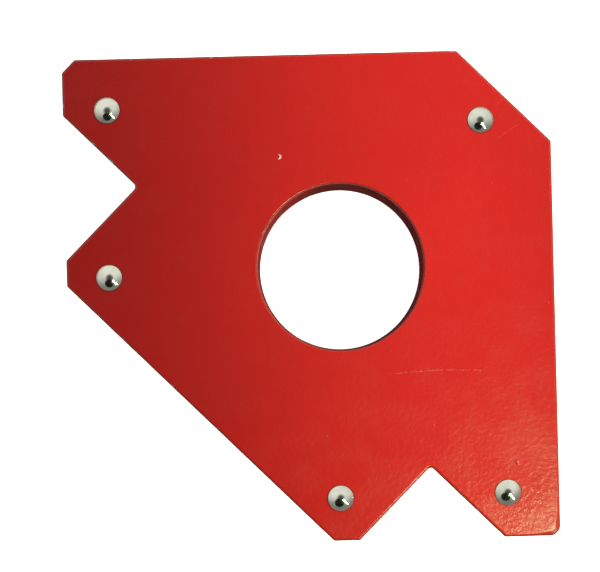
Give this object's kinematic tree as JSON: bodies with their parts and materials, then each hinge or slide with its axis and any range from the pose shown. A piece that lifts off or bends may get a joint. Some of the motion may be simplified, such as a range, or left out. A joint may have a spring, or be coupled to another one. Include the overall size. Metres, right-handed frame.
{
  "type": "magnetic welding holder",
  "caption": "Flat arrow-shaped magnetic welding holder: two red steel plates riveted over ferrite blocks, with a large centre hole, 45 and 90 degree working edges and V notches in its feet.",
  "frame": {"origin": "on the centre hole's axis, halfway through the thickness between the two plates", "axes": "+Z out of the top plate, along the centre hole; +X and +Y square to the two long square edges, with the cut tip between them; the holder lies flat on its closed rivet heads"},
  "size_m": [0.137, 0.137, 0.0284],
  "materials": {
    "plate_paint": "gloss",
    "sleeve_paint": "satin",
    "rivet_plating": "polished",
    "strip_metal": "satin",
    "spacer_metal": "satin",
    "ferrite": "matte"
  },
  "bodies": {
    "root": {"top_plate": "plate_paint", "bottom_plate": "plate_paint", "hole_sleeve": "sleeve_paint", "rivets": "rivet_plating", "rivet_spacer_1": "spacer_metal", "rivet_spacer_2": "spacer_metal", "rivet_spacer_3": "spacer_metal", "rivet_spacer_4": "spacer_metal", "rivet_spacer_5": "spacer_metal", "magnet_rear_1_1": "ferrite", "magnet_rear_1_2": "ferrite", "magnet_rear_2_1": "ferrite", "magnet_rear_2_2": "ferrite", "magnet_right_1_1": "ferrite", "magnet_right_1_2": "ferrite", "magnet_right_2_1": "ferrite", "magnet_right_2_2": "ferrite", "magnet_long_1_1": "ferrite", "magnet_long_1_2": "ferrite", "magnet_long_2_1": "ferrite", "magnet_long_2_2": "ferrite", "tip_strip": "strip_metal", "rear_edge_strip": "strip_metal", "left_notch_strip": "strip_metal", "long_edge_strip": "strip_metal", "front_notch_strip": "strip_metal", "right_edge_strip": "strip_metal"}
  },
  "joints": []
}
